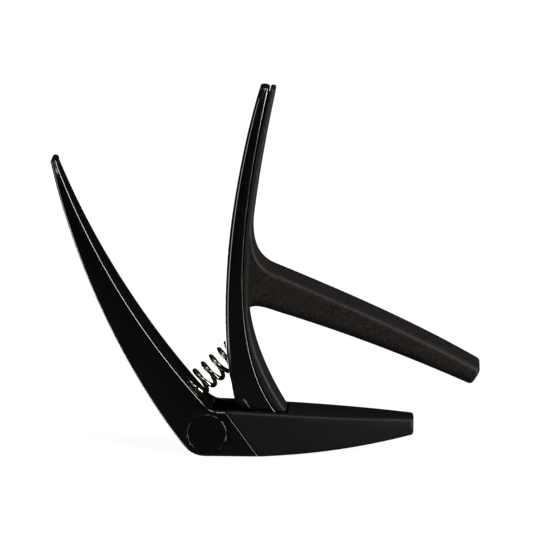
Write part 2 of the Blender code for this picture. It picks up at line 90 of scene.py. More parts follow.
# The spring, whose axis rises from the frame's pocket to the lever's.
SPRING_AXIS = Vector((0.736, 0.0, 0.677)).normalized()
SPRING_FOOT = Vector((-17.8, 0.0, 12.5))
SPRING_RADIUS = 3.15
WIRE_RADIUS = 0.52
SPRING_LENGTH = 16.2
ACTIVE_TURNS = 5.25
END_TURNS = 1
END_TURN_GAP = 0.06
START_TURN = 0.5
POINTS_PER_TURN = 40
WIRE_SIDES = 14
POCKET_RADIUS = 3.75
FRAME_POCKET_DEPTH = 8
LEVER_POCKET_DEPTH = 9
CUP_WALL = 0.25

# The plain round inlay in the near face of the base.
BADGE_CENTRE = (-12.7, 5.4)
BADGE_RADIUS = 4.35
BADGE_DEPTH = 0.4
BADGE_EDGE = 0.16
BADGE_FLAT = 0.1

# The soft strip under the string bar, and its span as shares of the bar. The hollow for it is open below
# by this many seat gaps.
PAD_HALF_WIDTH = 2.7
PAD_THICKNESS = 1.5
PAD_PROUD = 0.15
PAD_OPENING = 4
PAD_SPAN = (0.023, 0.954)

# Half the depth of the base.
HALF_DEPTH = 6.2

# Edges as Bezier curves in X and Z, from the tips, and half depths as curves beside them.
FRAME_OUTER = ((-47.25, 67.2), (-42.7, 45.3), (-31.6, 20.5), (-18.2, 2.7))
FRAME_INNER = ((-45.9, 66.9), (-38.5, 46.6), (-27.3, 28.1), (-13.2, 12.0))
FRAME_DEPTH = (2.8, 5.7, 6.3, 6.2)
FRAME_START = 0.025
HEEL_OUTER = ((-18.2, 2.7), (-16.1, 0.0), (-13.0, 0.0))
HEEL_INNER = ((-13.2, 12.0), (-11.7, 10.35), (-9.9, 10.35))
SEAM = ((-1.4, 0.0), (-8.75, 10.35))
NECK_BOTTOM = ((-1.4 + SEAM_GROOVE, 0.0), (14.5, 0.8), (32.2, 4.4))
NECK_TOP = ((-8.75 + SEAM_GROOVE, 10.4), (32.2, 8.37))
NECK_TAPER = 3.1
NECK_TAPER_START = 4.0
NECK_TAPER_LENGTH = 28.5
NECK_TAPER_POWER = 2.2
TANG_END = 0.954
LEVER_FRONT = ((-1.1, 82.1), (-7.0, 62.6), (-12.0, 30.5), (-6.0, 9.9))
LEVER_SEAM = ((1.05, 82.1), (-3.45, 62.8), (-9.95, 27.3), (2.4, 9.8))
LEVER_DEPTH = (2.9, 5.5, 6.7, 3.9)
SLEEVE_STEP = 0.1
CORE_OVERLAP = 1.0
BACK_UPPER = ((2.5, 82.4), (0.4, 72.4), (-1.35, 62.5), (-2.6, 52.4))
BACK_MIDDLE = ((-2.6, 52.4), (-3.7, 34.6))
BACK_LOWER = ((-3.7, 34.6), (-3.9, 29.5), (-1.6, 20.0), (4.85, 9.95))
ROOT_TOP = ((-2.65, 50.5), (-2.7, 43.9), (1.9, 41.9))
ROOT_BOTTOM = ((-3.8, 32.4), (-3.5, 34.9), (2.5, 32.7))
BAR_TOP = ((1.9, 41.9), (16.5, 35.7), (31.9, 29.2), (47.0, 20.65))
BAR_BOTTOM = ((2.5, 32.7), (16.8, 28.4), (30.1, 23.35), (44.8, 16.6))
ROOT_DEPTH = 5.15
BAR_DEPTH = (5.5, 5.9, 5.8, 5.0)

# Radii at the first and the second edge of each arm's section, and how far its sides swell.
FRAME_EDGES = (0.8, 0.6)
NECK_EDGES = (0.8, 0.8)
SLEEVE_EDGES = (0.25, 0.9)
BAR_EDGES = (1.2, 2.5)
PAD_EDGES = (0.3, 0.7)
TANG_EDGES = (0.5, 0.5)
HOLLOW_EDGES = (0.6, 0.6)
RIB_EDGES = (0.4, 0.4)
RIB_HOLLOW_EDGES = (0.5, 0.5)
STRIP_EDGES = (0.4, 0.4)
FRAME_CROWN = 0.12
NECK_CROWN = 0.15
LEVER_CROWN = 0.1

# The lever's edges: one radius at the front, as far as its width allows, and one at the sleeve, which
# grows over the handle's upper half. Its tip is narrower by the chamfer.
LEVER_FRONT_RADIUS = 1.4
LEVER_FRONT_SHARE = 0.38
LEVER_SEAM_RADIUS = 0.35
TIP_SEAM_GAIN = 0.65
TIP_BLEND = 45.0
TIP_CHAMFER = 0.55

# The largest share of a section's length and of its half depth that its corners may take.
LENGTH_SHARE = 0.95
DEPTH_SHARE = 0.85

# How much longer each tip is than its edge curves, and how far it draws in all round.
FRAME_TIP = (0.9, 0.55)
NECK_TIP = (0.7, 0.7)
LEVER_TIP = (0.6, 0.5)
SLEEVE_TIP = (0.35, 0.45)
BAR_TIP = (0.8, 0.75)
SEAM_LIP = (0.12, 0.2)

# How far tangs and hollows reach past the curves that they follow.
TANG_ROOT = 2.5
BAR_TANG_ROOT = 1.5
BAR_ROOT = 0.4
HOLLOW_END = 0.4
RIB_EXIT = (0.9, -3.0)

# Rounded and smoothed edges of the cut meshes.
EDGE_WIDTH = 0.08
NECK_EDGE_WIDTH = 0.14
PAD_EDGE_WIDTH = 0.2
BEVEL_ANGLE = math.radians(40)
SHARP_ANGLE = math.radians(50)
MERGE_DISTANCE = 0.01
SHORTEST_EDGE = 0.005
SKIN_VOXEL = 0.25

# Sections along each arm, then steps round its corners, sides and tips.
FRAME_STEPS = 48
HEEL_STEPS = 14
SEAM_STEPS = 8
NECK_STEPS = 44
LEVER_STEPS = 60
ROOT_STEPS = 14
BAR_STEPS = 44
CORNER_STEPS = 6
SIDE_STEPS = 4
END_STEPS = 6
LIP_STEPS = 3
END_ANGLE = math.radians(86)
ROUND_SEGMENTS = 96
HALVINGS = 24

# The studio, in metres and degrees.
LIGHT_DISTANCE = 1.1
LIGHT_AIM = Vector((0, 0, 0.04))
WARM_WHITE = (1.0, 0.97, 0.93)
CAMERA_AZIMUTH = 2
CAMERA_ELEVATION = 14
CAMERA_TARGET = Vector((0.00106, 0, 0.0412))
CAMERA_LENS = 303
FLOOR_RADIUS = 3.0
FLOOR_DROP = 0.00002

# The grey of the room at rising heights, from -1 straight below to 1 straight above.
ROOM_GREYS = ((-0.6, 0.1), (-0.28, 0.05), (-0.12, 0.006), (0.15, 0.006), (0.8, 0.08))


# ---------------------------------------------------------------- curves and sections


def on_curve(points, t):
    """A point, or a plain number, on the Bezier curve through these control points."""
    if isinstance(points[0], (int, float)):
        return on_curve([(value, 0) for value in points], t)[0]
    rest = [Vector(point) for point in points]
    while len(rest) > 1:
        rest = [a.lerp(b, t) for a, b in zip(rest, rest[1:])]
    return rest[0]


def spaced(count, start=0.0, end=1.0):
    return [start + (end - start) * i / count for i in range(count + 1)]


def row(first, second, half):
    """One section of an arm: two facing edge points in X and Z, and the half depth in Y."""
    return (first[0], first[1], second[0], second[1], half)


def drawn_in(rows, first, second, side):
    """Rows whose first and second edge and whose sides lie this far inside the given rows."""
    result = []
    for x1, z1, x2, z2, half in rows:
        start = Vector((x1, z1))
        end = Vector((x2, z2))
        along = (end - start).normalized()
        result.append(row(start + along * first, end - along * second, half - side))
    return result


def end_rounded(rows, length, inset, steps=END_STEPS):
    """Rows with a rounded end after the last one, this much longer and drawn in all round by the inset."""
    x1, z1, x2, z2, half = rows[-1]
    first = Vector((x1, z1))
    second = Vector((x2, z2))
    along = (second - first).normalized()
    before = (Vector(rows[-2][:2]) + Vector(rows[-2][2:4])) / 2
    out = Vector((-along.y, along.x))
    if out.dot((first + second) / 2 - before) < 0:
        out = -out
    end = []
    for i in range(1, steps + 1):
        angle = END_ANGLE * i / steps
        inward = inset * (1 - math.cos(angle))
        forward = out * length * math.sin(angle)
        end.append(row(first + forward + along * inward, second + forward - along * inward, half - inward))
    return rows + end


def start_rounded(rows, length, inset):
    return end_rounded(rows[::-1], length, inset)[::-1]


def ring(section, radius, crown):
    """A rounded rectangle between a row's two edge points. Its corners have one radius at the first edge
    and one at the second, and its sides swell by the crown."""
    x1, z1, x2, z2, half_depth = section
    start = Vector((x1, 0, z1))
    end = Vector((x2, 0, z2))
    along = (end - start).normalized()
    half_length = (end - start).length / 2
    middle = (start + end) / 2
    corners = []
    for corner in range(4):
        side = 1 if corner in (0, 3) else -1
        back = 1 if corner in (0, 1) else -1
        wanted = radius[1] if side > 0 else radius[0]
        size = min(wanted, 2 * LENGTH_SHARE * half_length * wanted / sum(radius), half_depth * DEPTH_SHARE)
        points = []
        for step in range(CORNER_STEPS + 1):
            angle = math.radians(90) * (corner + step / CORNER_STEPS)
            u = side * (half_length - size) + size * math.cos(angle)
            v = back * (half_depth - crown - size) + size * math.sin(angle)
            points.append((u, v))
        corners.append(points)
    loop = []
    for corner, points in enumerate(corners):
        loop.extend(points)
        target = corners[(corner + 1) % 4][0]
        for step in range(1, SIDE_STEPS):
            t = step / SIDE_STEPS
            u = points[-1][0] + (target[0] - points[-1][0]) * t
            v = points[-1][1] + (target[1] - points[-1][1]) * t
            if corner in (0, 2):
                v += math.copysign(crown * 4 * t * (1 - t), v)
            loop.append((u, v))
    return [middle + along * u + Vector((0, v, 0)) for u, v in loop]


# ---------------------------------------------------------------- meshes


def object_from(bm, name, smooth=True):
    """A mesh object from a bmesh that was built in millimetres."""
    bmesh.ops.recalc_face_normals(bm, faces=bm.faces)
    bmesh.ops.scale(bm, vec=(MM, MM, MM), verts=bm.verts)
    mesh = bpy.data.meshes.new(name)
    bm.to_mesh(mesh)
    bm.free()
    obj = bpy.data.objects.new(name, mesh)
    bpy.context.scene.collection.objects.link(obj)
    if smooth:
        mesh.shade_smooth()
    return obj


def loft(name, rows, radius, crown=0.0):
    """A closed skin through the rounded sections of the rows. One pair of corner radii serves them all, or
    a list holds a pair for each."""
    bm = bmesh.new()
    radii = radius if isinstance(radius, list) else [radius] * len(rows)
    rings = [[bm.verts.new(point) for point in ring(*pair, crown)] for pair in zip(rows, radii)]
    for before, after in zip(rings, rings[1:]):
        for i in range(len(before)):
            j = (i + 1) % len(before)
            bm.faces.new((before[i], before[j], after[j], after[i]))
    bm.faces.new(rings[0])
    bm.faces.new(rings[-1])
    return object_from(bm, name)


def plate(name, outline, near, far):
    """A flat outline in X and Z, between two places in Y."""
    bm = bmesh.new()
    bm.faces.new([bm.verts.new((x, near, z)) for x, z in outline])
    made = bmesh.ops.extrude_face_region(bm, geom=bm.faces[:])
    moved = [item for item in made["geom"] if isinstance(item, bmesh.types.BMVert)]
    bmesh.ops.translate(bm, vec=(0, far - near, 0), verts=moved)
    return object_from(bm, name, smooth=False)


def turned(name, profile, place, axis):
    """A profile of radius and height, which starts and ends on the axis, turned about it."""
    bm = bmesh.new()
    turn = Vector(axis).to_track_quat("Z", "Y").to_matrix()
    place = Vector(place)
    loops = []
    for radius, height in profile:
        if radius == 0:
            loops.append([bm.verts.new(place + turn @ Vector((0, 0, height)))] * ROUND_SEGMENTS)
            continue
        loop = []
        for i in range(ROUND_SEGMENTS):
            angle = 2 * math.pi * i / ROUND_SEGMENTS
            point = Vector((radius * math.cos(angle), radius * math.sin(angle), height))
            loop.append(bm.verts.new(place + turn @ point))
        loops.append(loop)
    for before, after in zip(loops, loops[1:]):
        for i in range(ROUND_SEGMENTS):
            j = (i + 1) % ROUND_SEGMENTS
            corners = dict.fromkeys((before[i], before[j], after[j], after[i]))
            bm.faces.new(list(corners))
    return object_from(bm, name)


def cylinder(name, radius, start, end):
    """A cylinder between two points."""
    start = Vector(start)
    end = Vector(end)
    length = (end - start).length
    return turned(name, [(0, length), (radius, length), (radius, 0), (0, 0)], start, end - start)


def boolean(obj, operation, *others):
    """Joins or cuts at once, and removes the other shapes."""
    for other in others:
        modifier = obj.modifiers.new("Join", "BOOLEAN")
        modifier.operation = operation
        modifier.solver = "EXACT"
        modifier.object = other
        bake(obj)
        bpy.data.objects.remove(other)


def bake(obj):
    """Applies every modifier of the object."""
    graph = bpy.context.evaluated_depsgraph_get()
    mesh = bpy.data.meshes.new_from_object(obj.evaluated_get(graph))
    obj.modifiers.clear()
    obj.data = mesh


def crisp(obj, width=EDGE_WIDTH):
    """Rounds the sharp edges that the cuts left, and shades the rest smooth."""
    mesh = obj.data
    bm = bmesh.new()
    bm.from_mesh(mesh)
    bmesh.ops.remove_doubles(bm, verts=bm.verts, dist=MERGE_DISTANCE * MM)
    bmesh.ops.dissolve_degenerate(bm, edges=bm.edges, dist=SHORTEST_EDGE * MM)
    bm.to_mesh(mesh)
    bm.free()
    bevel = obj.modifiers.new("Edges", "BEVEL")
    bevel.width = width * MM
    bevel.segments = 2
    bevel.limit_method = "ANGLE"
    bevel.angle_limit = BEVEL_ANGLE
    bevel.use_clamp_overlap = True
    bevel.harden_normals = True
    bake(obj)
    obj.data.shade_smooth()
    obj.data.set_sharp_from_angle(angle=SHARP_ANGLE)
    return obj


# ---------------------------------------------------------------- rows of each arm


def frame_rows():
    """The frame from the handle's tip round the heel to the seam in the base."""
    rows = []
    for t in spaced(FRAME_STEPS, FRAME_START)[:-1]:
        half = min(on_curve(FRAME_DEPTH, t), HALF_DEPTH)
        rows.append(row(on_curve(FRAME_OUTER, t), on_curve(FRAME_INNER, t), half))
    for t in spaced(HEEL_STEPS):
        rows.append(row(on_curve(HEEL_OUTER, t), on_curve(HEEL_INNER, t), HALF_DEPTH))
    start = rows[-1]
    for t in spaced(SEAM_STEPS)[1:]:
        first = Vector(start[:2]).lerp(Vector(SEAM[0]), t)
        second = Vector(start[2:4]).lerp(Vector(SEAM[1]), t)
        rows.append(row(first, second, HALF_DEPTH))
    return start_rounded(end_rounded(rows, *SEAM_LIP, LIP_STEPS), *FRAME_TIP)


def neck_rows(end=1.0):
    """The lower jaw from the seam towards its tip, whose depth tapers in plan."""
    rows = []
    for t in spaced(NECK_STEPS, 0.0, end):
        bottom = on_curve(NECK_BOTTOM, t)
        top = on_curve(NECK_TOP, t)
        along = max((bottom[0] + top[0]) / 2 - NECK_TAPER_START, 0) / NECK_TAPER_LENGTH
        rows.append(row(bottom, top, HALF_DEPTH - NECK_TAPER * along**NECK_TAPER_POWER))
    return rows


def lever_rows():
    """The lever's metal from its front to the line where it meets the sleeve."""
    rows = []
    for t in spaced(LEVER_STEPS):
        rows.append(row(on_curve(LEVER_FRONT, t), on_curve(LEVER_SEAM, t), on_curve(LEVER_DEPTH, t)))
    return rows


def at_height(curves, z):
    """The point at this height on the first of the falling curves that reaches down to it."""
    curve = next((curve for curve in curves if curve[-1][1] <= z), curves[-1])
    low, high = 0.0, 1.0
    for _ in range(HALVINGS):
        middle = (low + high) / 2
        if on_curve(curve, middle)[1] > z:
            low = middle
        else:
            high = middle
    return on_curve(curve, low)


def back_rows():
    """From the line where metal meets sleeve to the sleeve's back."""
    rows = []
    for t in spaced(LEVER_STEPS):
        seam = on_curve(LEVER_SEAM, t)
        back = at_height((BACK_UPPER, BACK_MIDDLE, BACK_LOWER), seam[1])
        rows.append(row(seam, back, on_curve(LEVER_DEPTH, t) - SLEEVE_STEP))
    return rows


def core_rows(wall):
    """The metal rib inside the back of the sleeve."""
    return drawn_in(back_rows()[1:], -CORE_OVERLAP, wall, wall)


def root_rows():
    """The flare where the string bar leaves the lever's back."""
    rows = []
    for t in spaced(ROOT_STEPS)[:-1]:
        half = ROOT_DEPTH + (BAR_DEPTH[0] - ROOT_DEPTH) * t
        rows.append(row(on_curve(ROOT_TOP, t), on_curve(ROOT_BOTTOM, t), half))
    return rows


def bar_rows(start=0.0, end=1.0):
    """The string bar from its root's end towards its tip."""
    rows = []
    for t in spaced(BAR_STEPS, start, end):
        rows.append(row(on_curve(BAR_TOP, t), on_curve(BAR_BOTTOM, t), on_curve(BAR_DEPTH, t)))
    return rows


def stretched(rows, before, after):
    """Rows with both ends moved on in X, so that a cut passes the ends."""
    x1, z1, x2, z2, half = rows[0]
    first = (x1 - before, z1, x2 - before, z2, half)
    x1, z1, x2, z2, half = rows[-1]
    last = (x1 + after, z1, x2 + after, z2, half)
    return [first, *rows, last]


def bar_core_rows(wall):
    """The metal tang inside the string bar, above the soft strip."""
    return drawn_in(root_rows() + bar_rows(0.0, TANG_END), wall, wall + PAD_THICKNESS, wall)


def neck_core_rows(wall):
    """The metal tang inside the lower jaw."""
    return drawn_in(neck_rows(TANG_END), wall, wall, wall)


# ---------------------------------------------------------------- shapes


def slot_cutter():
    outline = [
        (SLOT_START, SLOT_TOP),
        (SLOT_START, SLOT_STEP),
        (SLOT_CORNER, SLOT_FLOOR),
        (SLOT_END, SLOT_FLOOR),
        (SLOT_END, SLOT_TOP),
    ]
    return plate("cut_slot", outline, -SLOT_HALF_WIDTH, SLOT_HALF_WIDTH)


def spring_point(height):
    return SPRING_FOOT + SPRING_AXIS * height


def make_frame_casting():
    casting = loft("frame_metal", frame_rows(), FRAME_EDGES, FRAME_CROWN)
    tang = loft("tang", stretched(neck_core_rows(NECK_SLEEVE_WALL + SLEEVE_GAP), TANG_ROOT, 0), TANG_EDGES)
    bore = cylinder(
        "bore",
        PIN_RADIUS + RUNNING_GAP,
        (PIVOT[0], -BORE_REACH, PIVOT[1]),
        (PIVOT[0], BORE_REACH, PIVOT[1]),
    )
    foot = spring_point(-CUP_WALL - SEAT_GAP)
    pocket = cylinder("pocket", POCKET_RADIUS, foot, spring_point(FRAME_POCKET_DEPTH))
    recess = cylinder(
        "recess",
        BADGE_RADIUS + SEAT_GAP,
        (BADGE_CENTRE[0], -HALF_DEPTH + BADGE_DEPTH + SEAT_GAP, BADGE_CENTRE[1]),
        (BADGE_CENTRE[0], -HALF_DEPTH - CUT_MARGIN, BADGE_CENTRE[1]),
    )
    boolean(casting, "UNION", tang)
    boolean(casting, "DIFFERENCE", slot_cutter(), bore, pocket, recess)
    return crisp(casting)


def make_neck_sleeve():
    sleeve = loft("neck_sleeve_soft", end_rounded(neck_rows(), *NECK_TIP), NECK_EDGES, NECK_CROWN)
    hollow = loft("hollow", stretched(neck_core_rows(NECK_SLEEVE_WALL), TANG_ROOT, HOLLOW_END), HOLLOW_EDGES)
    boolean(sleeve, "DIFFERENCE", hollow, slot_cutter())
    return crisp(sleeve, NECK_EDGE_WIDTH)


def foot_outline():
    """The foot's hub round the pin, with a toe to the right that meets the stop."""
    hub = []
    for degrees in FOOT_ANGLES:
        angle = math.radians(degrees)
        hub.append((PIVOT[0] + FOOT_RADIUS * math.cos(angle), PIVOT[1] + FOOT_RADIUS * math.sin(angle)))
    return [*FOOT_TOP, *hub, *FOOT_TOE]


def hub_bore_profile():
    """The bushes' bore through the foot, widened at both ends for their flanges."""
    bore = BUSH_RADIUS + SEAT_GAP
    floor = FLANGE_FACE - FLANGE_THICKNESS - SEAT_GAP
    return [
        (0, HALF_DEPTH),
        (HUB_RECESS_RADIUS, HALF_DEPTH),
        (HUB_RECESS_RADIUS, floor),
        (bore, floor),
        (bore, -floor),
        (HUB_RECESS_RADIUS, -floor),
        (HUB_RECESS_RADIUS, -HALF_DEPTH),
        (0, -HALF_DEPTH),
    ]


def lever_edges(rows):
    """The corner radii of each of the lever's sections."""
    radii = []
    for section in rows:
        width = math.dist(section[0:2], section[2:4])
        near_tip = min(max((section[1] - TIP_BLEND) / (LEVER_FRONT[0][1] - TIP_BLEND), 0), 1)
        front = min(LEVER_FRONT_RADIUS, LEVER_FRONT_SHARE * width)
        radii.append((front, LEVER_SEAM_RADIUS + TIP_SEAM_GAIN * near_tip**2))
    return radii


def make_lever_casting():
    rows = lever_rows()
    rows[0] = (*rows[0][:4], rows[0][4] - TIP_CHAMFER)
    rows = start_rounded(rows, *LEVER_TIP)
    casting = loft("lever_metal", rows, lever_edges(rows), LEVER_CROWN)
    wall = LEVER_SLEEVE_WALL + SLEEVE_GAP
    rib = loft("rib", core_rows(wall), RIB_EDGES)
    tang = loft("tang", stretched(bar_core_rows(wall), BAR_TANG_ROOT, 0), TANG_EDGES)
    foot = plate("foot", foot_outline(), -FOOT_HALF_WIDTH, FOOT_HALF_WIDTH)
    ridges = []
    for side in (-1, 1):
        ends = [(x, side * y, z) for x, y, z in (RIDGE_BOTTOM, RIDGE_TOP)]
        ridges.append(cylinder("ridge", RIDGE_RADIUS, *ends))
    hub = turned("hub", hub_bore_profile(), (PIVOT[0], 0, PIVOT[1]), (0, -1, 0))
    head = spring_point(SPRING_LENGTH + CUP_WALL + SEAT_GAP)
    pocket = cylinder("pocket", POCKET_RADIUS, head, spring_point(SPRING_LENGTH - LEVER_POCKET_DEPTH))
    boolean(casting, "UNION", rib, tang, foot, *ridges)
    boolean(casting, "DIFFERENCE", hub, pocket)
    return crisp(casting)


def make_lever_sleeve():
    rows = start_rounded(drawn_in(back_rows(), SLEEVE_GAP, 0, 0), *SLEEVE_TIP)
    sleeve = loft("lever_sleeve_soft", rows, SLEEVE_EDGES)
    rows = end_rounded(stretched(root_rows() + bar_rows(), BAR_ROOT, 0), *BAR_TIP)
    boolean(sleeve, "UNION", loft("bar", rows, BAR_EDGES))
    soften(sleeve)
    core = core_rows(LEVER_SLEEVE_WALL)
    x1, z1, x2, z2, half = core[-1]
    across, down = RIB_EXIT
    below = (x1 + across, z1 + down, x2 + across, z2 + down, half)
    rib = loft("rib", [*core, below], RIB_HOLLOW_EDGES)
    tang = loft("tang", stretched(bar_core_rows(LEVER_SLEEVE_WALL), TANG_ROOT, HOLLOW_END), HOLLOW_EDGES)
    strip = loft("strip", pad_rows(SEAT_GAP), STRIP_EDGES)
    boolean(sleeve, "DIFFERENCE", rib, tang, strip)
    sleeve.data.shade_smooth()
    sleeve.data.set_sharp_from_angle(angle=SHARP_ANGLE)
    return sleeve


def soften(obj):
    """Remeshes a moulded soft shape finely, so that its arms flow into each other."""
    remesh = obj.modifiers.new("Skin", "REMESH")
    remesh.mode = "VOXEL"
    remesh.voxel_size = SKIN_VOXEL * MM
    relax = obj.modifiers.new("Relax", "SMOOTH")
    relax.factor = 0.5
    relax.iterations = 4
    bake(obj)


def pad_rows(extra):
    """The soft strip along the underside of the bar, or with extra the space it lies in."""
    result = []
    for x1, z1, x2, z2, _ in bar_rows(*PAD_SPAN):
        top = Vector((x1, z1))
        bottom = Vector((x2, z2))
        down = (bottom - top).normalized()
        inner = bottom - down * (PAD_THICKNESS + extra)
        outer = bottom + down * (PAD_PROUD + extra * PAD_OPENING)
        result.append(row(inner, outer, PAD_HALF_WIDTH + extra))
    return stretched(result, extra, extra) if extra else result


def make_string_pad():
    return crisp(loft("string_pad_soft", pad_rows(0), PAD_EDGES), PAD_EDGE_WIDTH)


def make_spring():
    """Closed end turns and open turns between them, wound right-handed along the spring's axis."""
    turns = ACTIVE_TURNS + 2 * END_TURNS
    closed_rise = END_TURNS * (2 * WIRE_RADIUS + END_TURN_GAP)
    open_rise = SPRING_LENGTH - 2 * WIRE_RADIUS - 2 * SEAT_GAP - 2 * closed_rise
    across = SPRING_AXIS.cross(Vector((0, 1, 0))).normalized()
    other = SPRING_AXIS.cross(across)
    path = []
    for i in range(round(turns * POINTS_PER_TURN) + 1):
        turn = i / POINTS_PER_TURN
        start_part = min(turn, END_TURNS) / END_TURNS
        end_part = max(turn - END_TURNS - ACTIVE_TURNS, 0) / END_TURNS
        middle_part = min(max(turn - END_TURNS, 0), ACTIVE_TURNS) / ACTIVE_TURNS
        height = WIRE_RADIUS + SEAT_GAP + closed_rise * (start_part + end_part) + open_rise * middle_part
        angle = 2 * math.pi * (turn + START_TURN)
        radius = SPRING_RADIUS - WIRE_RADIUS
        outward = math.cos(angle) * across + math.sin(angle) * other
        path.append((spring_point(height) + outward * radius, outward))
    bm = bmesh.new()
    rings = []
    for i, (centre, outward) in enumerate(path):
        ahead = path[min(i + 1, len(path) - 1)][0] - path[max(i - 1, 0)][0]
        side = ahead.normalized().cross(outward).normalized()
        loop = []
        for k in range(WIRE_SIDES):
            angle = 2 * math.pi * k / WIRE_SIDES
            spoke = math.cos(angle) * outward + math.sin(angle) * side
            loop.append(bm.verts.new(centre + WIRE_RADIUS * spoke))
        rings.append(loop)
    for before, after in zip(rings, rings[1:]):
        for k in range(WIRE_SIDES):
            j = (k + 1) % WIRE_SIDES
            bm.faces.new((before[k], before[j], after[j], after[k]))
    bm.faces.new(rings[0])
    bm.faces.new(rings[-1])
    obj = object_from(bm, "spring_wire")
    obj.data.set_sharp_from_angle(angle=SHARP_ANGLE)
    return obj


def make_badge():
    """A flat disc with a rounded edge."""
    flat = BADGE_RADIUS - BADGE_EDGE
    profile = [(0, -BADGE_DEPTH), (BADGE_RADIUS, -BADGE_DEPTH)]
    for degrees in range(0, 91, 15):
        angle = math.radians(degrees)
        profile.append((flat + BADGE_EDGE * math.cos(angle), BADGE_EDGE * (math.sin(angle) - 1)))
    profile += [(flat - BADGE_FLAT, 0), (0, 0)]
    place = (BADGE_CENTRE[0], -HALF_DEPTH, BADGE_CENTRE[1])
    obj = turned("badge_inlay", profile, place, (0, -1, 0))
    obj.data.set_sharp_from_angle(angle=SHARP_ANGLE)
    return obj


# ---------------------------------------------------------------- finishes


def new_material(name):
    material = bpy.data.materials.new(name)
    material.use_nodes = True
    nodes = material.node_tree.nodes
    return material, nodes, material.node_tree.links, nodes["Principled BSDF"]


def noise(nodes, links, scale, detail=3.0, roughness=0.5):
    """A noise that lies fixed in the object, finer with a larger scale."""
    coordinates = nodes.new("ShaderNodeTexCoord")
    texture = nodes.new("ShaderNodeTexNoise")
    texture.inputs["Scale"].default_value = scale
    texture.inputs["Detail"].default_value = detail
    texture.inputs["Roughness"].default_value = roughness
    links.new(coordinates.outputs["Object"], texture.inputs["Vector"])
    return texture.outputs["Fac"]


def ramp(nodes, links, source, low, high, dark, light):
    """Spreads a noise between two values over the tones from dark to light."""
    node = nodes.new("ShaderNodeValToRGB")
    node.color_ramp.elements[0].position = low
    node.color_ramp.elements[1].position = high
    node.color_ramp.elements[0].color = (*dark, 1)
    node.color_ramp.elements[1].color = (*light, 1)
    links.new(source, node.inputs["Fac"])
    return node.outputs["Color"]


def spread(nodes, links, source, low, high):
    """Spreads a noise evenly from the low value to the high one."""
    node = nodes.new("ShaderNodeMapRange")
    node.inputs["From Min"].default_value = 0.3
    node.inputs["From Max"].default_value = 0.7
    node.inputs["To Min"].default_value = low
    node.inputs["To Max"].default_value = high
    links.new(source, node.inputs["Value"])
    return node.outputs["Result"]


def bump(nodes, links, shader, source, distance, strength=1.0):
    """Presses a noise into the surface, this many millimetres deep."""
    node = nodes.new("ShaderNodeBump")
    node.inputs["Distance"].default_value = distance * MM
    node.inputs["Strength"].default_value = strength
    links.new(source, node.inputs["Height"])
    links.new(node.outputs["Normal"], shader.inputs["Normal"])


def gloss_black(name):
    """Gloss black enamel with a faint orange peel."""
    material, nodes, links, shader = new_material(name)
    dark = (0.0008, 0.00075, 0.0007)
    light = (0.0015, 0.0014, 0.00135)
    tone = noise(nodes, links, 60)
    links.new(ramp(nodes, links, tone, 0.3, 0.7, dark, light), shader.inputs["Base Color"])
    smears = noise(nodes, links, 240, detail=5)
    links.new(spread(nodes, links, smears, 0.10, 0.16), shader.inputs["Roughness"])
    peel = noise(nodes, links, 900, detail=2)
    bump(nodes, links, shader, peel, 0.004, 0.5)
    return material


def grained(name, dark, light, roughness, grain, depth):
    """Moulded soft plastic: mottled tone, with a fine grain pressed into it."""
    material, nodes, links, shader = new_material(name)
    mottle = noise(nodes, links, grain * 1.1, detail=5, roughness=0.75)
    links.new(ramp(nodes, links, mottle, 0.41, 0.61, dark, light), shader.inputs["Base Color"])
    shader.inputs["Specular IOR Level"].default_value = 0.14
    patches = noise(nodes, links, 90)
    links.new(spread(nodes, links, patches, roughness - 0.05, roughness + 0.05), shader.inputs["Roughness"])
    pits = noise(nodes, links, grain, detail=4, roughness=0.6)
    bump(nodes, links, shader, pits, depth)
    return material


def metal(name, dark, light, roughness):
    """Bare or plated metal, a little uneven in tone and gloss."""
    material, nodes, links, shader = new_material(name)
    tone = noise(nodes, links, 300)
    links.new(ramp(nodes, links, tone, 0.35, 0.65, dark, light), shader.inputs["Base Color"])
    shader.inputs["Metallic"].default_value = 1.0
    links.new(spread(nodes, links, tone, roughness * 0.8, roughness * 1.25), shader.inputs["Roughness"])
    bump(nodes, links, shader, tone, 0.004, 0.4)
    return material


def wear(obj, material):
    """Gives the object this one material."""
    obj.data.materials.clear()
    obj.data.materials.append(material)


# ---------------------------------------------------------------- studio


def direction(azimuth, elevation):
    """The way from the object to a place round it, from two angles in degrees."""
    around = math.radians(azimuth)
    up = math.radians(elevation)
    return Vector((math.sin(around) * math.cos(up), -math.cos(around) * math.cos(up), math.sin(up)))


def soft_box(name, azimuth, elevation, width, height, radiance, colour=(1, 1, 1), only=None):
    """A flat rectangular light that faces the object. It lights everything, or only the pieces of one
    collection. Azimuth 0 is in front and 90 to the right."""
    light = bpy.data.lights.new(name, "AREA")
    light.shape = "RECTANGLE"
    light.size = width
    light.size_y = height
    light.energy = radiance * width * height * math.pi
    light.color = colour
    obj = bpy.data.objects.new(name, light)
    away = direction(azimuth, elevation)
    obj.location = LIGHT_AIM + away * LIGHT_DISTANCE
    obj.rotation_euler = away.to_track_quat("Z", "Y").to_euler()
    obj.visible_camera = False
    if only:
        obj.light_linking.receiver_collection = only
    bpy.context.scene.collection.objects.link(obj)


